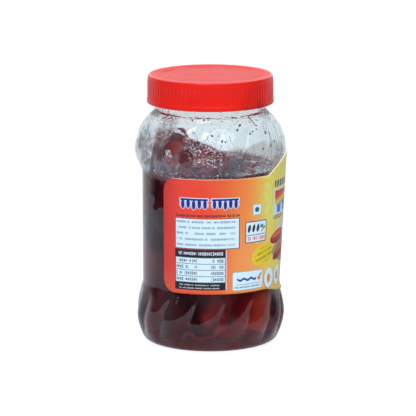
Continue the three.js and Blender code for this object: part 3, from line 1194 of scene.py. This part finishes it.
def front_picture(sheet):
    """The front: blue beads over a striped ribbon, a heap of red carrots, and a row of big white ovals."""
    recipe, u, v = sheet.recipe, sheet.u, sheet.v
    front = arch_centre * mm_per_degree
    half = (arch_centre - picture_start) * mm_per_degree
    left, right = front - half, front + half
    gaps = abs((u / 3.4).fract() - 0.5).rise(0.26, 0.34)
    sheet.lay(ink(30, 34, 92), (1 - gaps) * patch(u, v, left, right, 109.2, 113.8))
    sheet.block(paper_white, left, right, 90.4, 107.5)
    sheet.block(ink(216, 70, 50), left, right, 87.2, 88.2)
    sheet.block(ink(60, 104, 176), left, right, 88.8, 89.6)
    ribbon = patch(u, v, left + 0.7, right - 0.7, 91.1, 106.8)
    wave = (u * 0.16).sine() * 1.6
    sheet.lay(recipe.ramp(ribbon_stops, (v + wave - 91) / 16), ribbon)
    arches = oval((u / 9.2).fract() * 9.2, v, 4.6, 92, 2.3, 5.4)
    sheet.lay(paper_white, arches * ribbon * 0.9)
    sheet.lay(ink(218, 208, 210), oval(u, v, front, 80, 31, 13) * 0.8)
    sheet.lay(ink(140, 118, 112), oval(u, v, front, 65, 37, 11) * 0.8)
    for place, height, length, tilt in front_carrots:
        shade = ((v - height) / 9 + 0.5).rise(0, 1)
        skin = recipe.blend(shade, ink(150, 36, 32), ink(216, 74, 44))
        sheet.dot(skin, front + place, height, length, 4.4, tilt)
        gloss = oval(u, v, front + place - 1, height + 1.3, length * 0.7, 0.7, tilt)
        sheet.lay(ink(240, 190, 150), gloss * 0.35)
    leaves = oval(u, v, front - 14, 84, 7, 1.6, -30).higher_of(oval(u, v, front + 16, 84, 7, 1.6, 30))
    sheet.lay(ink(88, 124, 58), leaves)
    across = (abs(u - front) / big_oval_pitch).fract() * big_oval_pitch
    middle = big_oval_pitch / 2
    row = patch(u, v, front - big_oval_pitch * 4, front + big_oval_pitch * 4, 0, chart_height)
    sheet.lay(ink(196, 120, 40), oval(across, v, middle + 0.5, 47.2, 5.3, 7.2) * row * 0.7)
    hole = oval(across, v, middle + 0.2, 47.4, 1.9, 3.2)
    sheet.lay(paper_white, oval(across, v, middle, 47.6, 5.0, 6.8) * row * (1 - hole))


def far_panels(sheet):
    """The far end, which lies behind: another panel of fine print, a striped block and a green dot."""
    u, v = sheet.u, sheet.v
    sheet.block(ink(62, 58, 62), 143, 187, 70.8, 104)
    sheet.block(paper_white, 143.4, 186.6, 71.2, 103.6)
    sheet.lay(ink(80, 88, 98), sheet.rows((145.5, 184, 72.6, 102.6), 72.5, 3.9) * 0.62)
    sheet.block(paper_white, 166, 192, 44.5, 64)
    sockets = {"W": u, "Scale": 1.3, "Detail": 1.0}
    bars = sheet.recipe.node("TexNoise", {"noise_dimensions": "1D"}, sockets)
    sheet.lay(ink(30, 32, 36), bars.rise(0.49, 0.52) * patch(u, v, 168.5, 189.5, 46.5, 62.5))
    sheet.block(paper_white, 141, 161, 45, 61, 1.4)
    for hue, radius in ((ink(226, 130, 52), 5.6), (paper_white, 3.9), (ink(52, 128, 60), 2.4)):
        sheet.dot(hue, 151, 53, radius, radius)


def label_finish():
    finish, recipe = new_finish("printed film")
    along, up, _ = recipe.axes(recipe.node("UVMap", {"uv_map": "print"}, {}))
    turn = along * label_sweep + label_start
    sheet = Print(recipe, turn * mm_per_degree, up * chart_height)
    sheet.colour = recipe.ramp(ground_stops, abs(turn - arch_centre) / 150)
    for section in (ground, garlands, facts_panels, small_marks, white_badge, front_picture, far_panels):
        section(sheet)
    recipe.surface({
        "Base Color": sheet.colour,
        "Roughness": recipe.speckle(60) * 0.15 + 0.32,
        "IOR": 1.45,
        "Normal": recipe.bump(recipe.speckle(70, 1), 0.0006, 0.3),
    })
    return finish


def film_finish():
    """The back of the film, which glows: painted light for the light that comes through it from in front."""
    return speckled_finish("bare film", 200, (0.8, 0.8, 0.78, 1), (0.86, 0.86, 0.85, 1), {
        "Roughness": 0.5,
        "Emission Color": (1.0, 0.94, 0.84, 1),
        "Emission Strength": 0.48,
    })


def label():
    sheet = bmesh.new()
    bmesh.ops.create_grid(sheet, x_segments=label_columns, y_segments=label_rows, size=0.5)
    bmesh.ops.recalc_face_normals(sheet, faces=sheet.faces)
    chart = sheet.loops.layers.uv.new("print")
    arc_length = math.radians(label_sweep) * waist_radius
    places = {}
    for vert in sheet.verts:
        across = vert.co.x + 0.5
        along = across - 0.5 * math.sin(2 * math.pi * across) / (2 * math.pi)
        angle = label_start + label_sweep * along
        edge = min(along, 1 - along) * arc_length
        cut = max(label_corner - edge, 0)
        rounding = label_corner - math.sqrt(max(label_corner ** 2 - cut ** 2, 0))
        low = label_bottom - arch_dip * arch_share(angle) + rounding
        high = label_top + arch_rise * arch_share(angle) - rounding
        height = low + (high - low) * (vert.co.y + 0.5)
        places[vert] = (along, height / chart_height)
        vert.co = round_jar(angle, label_radius(angle, height) + film_thickness, height)
    for face in sheet.faces:
        for loop in face.loops:
            loop[chart].uv = places[loop.vert]
    sheet.normal_update()
    outward = next(iter(sheet.faces))
    if outward.normal.dot(outward.calc_center_median() * Vector((1, 1, 0))) < 0:
        bmesh.ops.reverse_faces(sheet, faces=sheet.faces)
    made = finished("printed_label", sheet, [label_finish(), film_finish()], "label")
    thickness = made.modifiers.new("film", "SOLIDIFY")
    thickness.thickness = film_thickness / 1000
    thickness.offset = -1
    thickness.material_offset = 1
    thickness.material_offset_rim = 1


label()


# Lid
# A moulded red screw cap: a raised rim round a sunk disc, fine grip ribs, and a smooth bead below them.
lid_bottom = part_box("lid")[0].z * 1000
lid_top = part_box("lid")[1].z * 1000
lid_radius = 42.6
lid_wall = 1.5
ribs = 90
rib_steps = 8
rib_depth = 0.22
disc_radius = 36.6
disc_sink = 0.8
lid_red = (0.80, 0.014, 0.008, 1)
lid_bright_red = (0.89, 0.020, 0.011, 1)

# Where the lid is darker, with dirt on the rim and a dark patch at the lower right of the bead: how far it is
# thick and how far it reaches, and how thick it is
darker_lid_spots = [((-15, 36, 182), 2, 7, 0.9), ((-5, 37, 182), 1, 5, 0.7), ((24, -35, 163), 2, 9, 0.32),
               ((34, -26, 164), 3, 9, 0.45), ((40, -14, 166), 2, 8, 0.4), ((30, -30, 170), 5, 14, 0.22),
               ((-33, 20, 182), 2, 10, 0.6), ((30, 26, 182), 2, 9, 0.5), ((-40, 12, 168), 3, 12, 0.6)]


def lid_finish():
    """Red, glossy on the rim's edge and dulled by hands on the disc, and darker in a few spots."""
    finish, recipe = new_finish("red moulded plastic")
    place = recipe.place()
    across, along, up = recipe.axes(place)
    cloud = recipe.speckle(30, 3)
    edge = ((across ** 2 + along ** 2) ** 0.5).rise(0.0368, 0.0378) * up.rise(0.1815, 0.1822)
    handled = up.rise(0.1805, 0.1815) * (1 - edge) * (0.08 + 0.4 * recipe.speckle(55, 4).rise(0.35, 0.65))
    clean = recipe.blend(cloud, lid_red, lid_bright_red)
    plastic = recipe.principled({
        "Base Color": recipe.blend(handled, clean, (0.50, 0.020, 0.014, 1)),
        "Roughness": 0.28 + 0.1 * cloud,
        "IOR": 1.5,
        "Specular IOR Level": 0.2,
        "Coat Weight": edge * 0.8,
        "Coat Roughness": 0.08,
        "Normal": recipe.bump(recipe.speckle(900, 2), 0.0002, 0.3),
    })
    blotches = 0.45 + 0.55 * recipe.speckle(420, 3).rise(0.5, 0.62)
    darkening = 0
    for spot, inner, outer, thick in darker_lid_spots:
        darkening = darkening + recipe.near(place, spot, inner, outer) * (thick * blotches)
    dull = {"Base Color": (0.10, 0.022, 0.018, 1), "Roughness": 0.9, "Specular IOR Level": 0.05}
    mixed = recipe.node("MixShader", {}, {0: darkening, 1: plastic, 2: recipe.principled(dull)})
    recipe.output("Material", mixed)
    return finish


def lid_inside_finish():
    """The inside of the lid, which glows red: painted light for the light that comes through the plastic."""
    return speckled_finish("inside of the lid", 60, lid_red, lid_bright_red, {
        "Roughness": 0.4,
        "Emission Color": (0.9, 0.05, 0.04, 1),
        "Emission Strength": 0.45,
    })


def lid_outline():
    """From the middle of the underside down the inside, up the outside, and over the rim to the disc."""
    inner = lid_radius - lid_wall
    under = lid_top - disc_sink - lid_wall
    disc = lid_top - disc_sink
    line = outline((0, under), (inner - 1.2, under), (inner - 0.3, under - 1), (inner, lid_bottom + 0.3),
                   (inner + 0.3, lid_bottom))
    line += outline(*((lid_radius + out, lid_bottom + up) for out, up in (
        (-0.1, 0), (0.2, 0.3), (0.3, 0.9), (0.3, 2.4), (0.15, 2.9), (0, 3.2), (0, 3.6), (-0.05, 8),
    )))
    line += outline((lid_radius - 0.1, lid_top - 4.2), (lid_radius - 0.1, lid_top - 3.6),
                    (lid_radius - 0.25, lid_top - 3.1))
    arc(line, (lid_radius - 0.4, lid_top - 2), (lid_radius - 0.6, lid_top - 1.2), 3)
    arc(line, (lid_radius - 0.8, lid_top), (lid_radius - 2.2, lid_top), 6)
    arc(line, (disc_radius + 1.6, lid_top), (disc_radius + 1.1, lid_top - 0.2), 3)
    arc(line, (disc_radius + 0.6, disc), (disc_radius - 0.4, disc), 3)
    return line + outline(*((disc_radius * share, disc) for share in (0.9, 0.6, 0.3, 0)))


def lid():
    skin = turned(lid_outline(), ribs, rib_steps)
    rib_bottom, rib_top = lid_bottom + 3.4, lid_top - 3.9
    for vert in skin.verts:
        across = math.hypot(vert.co.x, vert.co.y)
        if rib_bottom < vert.co.z < rib_top and across > lid_radius - 0.5:
            turn = turn_of(vert.co)
            groove = (1 - math.cos(turn * ribs)) / 2
            vert.co = round_jar(math.degrees(turn), across - rib_depth * groove, vert.co.z)
    skin.normal_update()
    for face in skin.faces:
        middle = face.calc_center_median()
        inward = middle.x * face.normal.x + middle.y * face.normal.y < -0.5 or face.normal.z < -0.5
        face.material_index = int(inward and math.hypot(middle.x, middle.y) < lid_radius - 0.8)
    finished("red_lid", skin, [lid_finish(), lid_inside_finish()], "lid")


lid()
